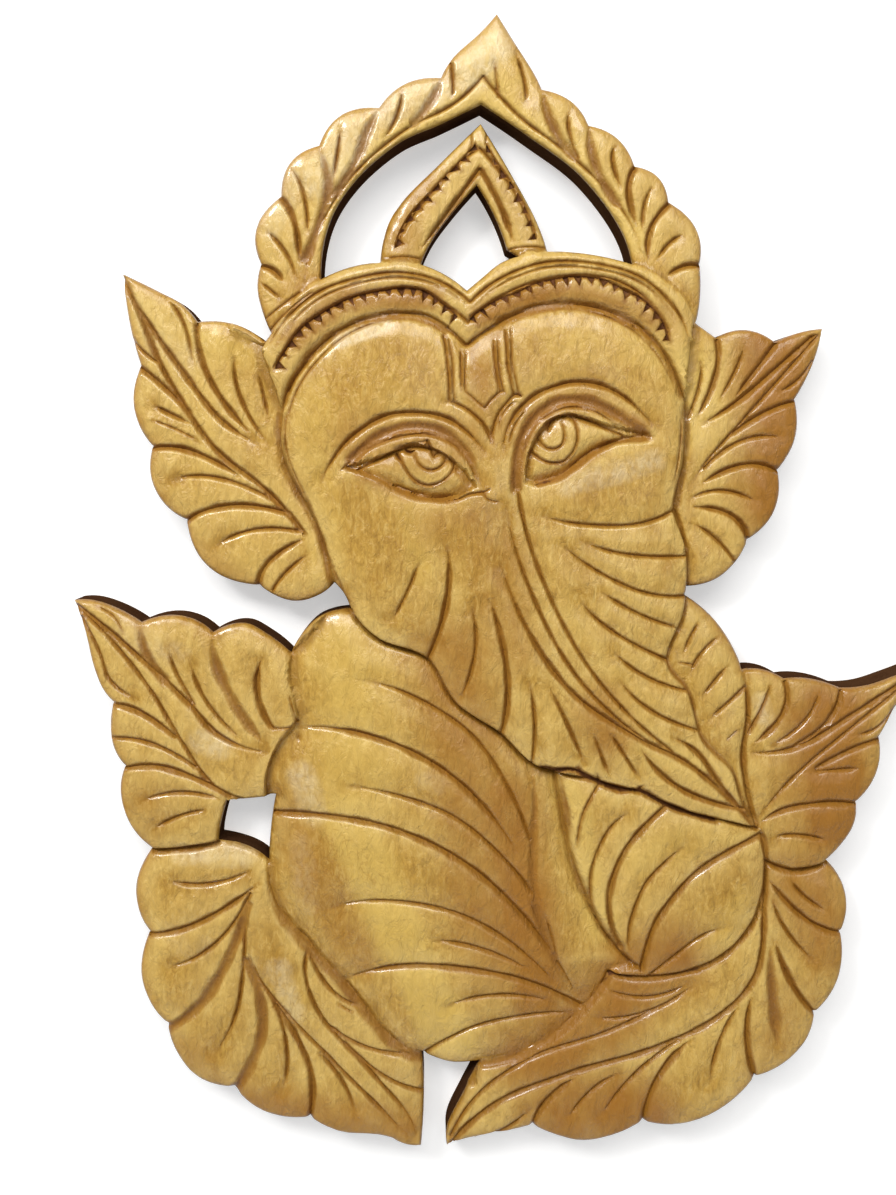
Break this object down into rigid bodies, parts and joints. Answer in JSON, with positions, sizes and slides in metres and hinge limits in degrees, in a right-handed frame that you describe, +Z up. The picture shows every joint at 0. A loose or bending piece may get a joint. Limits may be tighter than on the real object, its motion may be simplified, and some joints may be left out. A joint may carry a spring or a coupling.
{
  "type": "carved wooden wall plaque",
  "caption": "Flat-backed carved wooden wall plaque: an elephant-headed seated figure built of lobed leaves, under an open pointed arch.",
  "frame": {"origin": "the hanging point: on the flat back, behind the middle of the brow band, where the plaque rests on the wall", "axes": "+Y from the carved face to the back and into the wall, +Z up along the figure's height, +X to the viewer's right"},
  "size_m": [0.2965, 0.0198, 0.3996],
  "materials": {
    "varnished_wood": "golden-brown stain under gloss varnish, darker in the carved grooves and on the sawn edges"
  },
  "bodies": {
    "root": {"ganesha_plaque": "varnished_wood"}
  },
  "joints": []
}
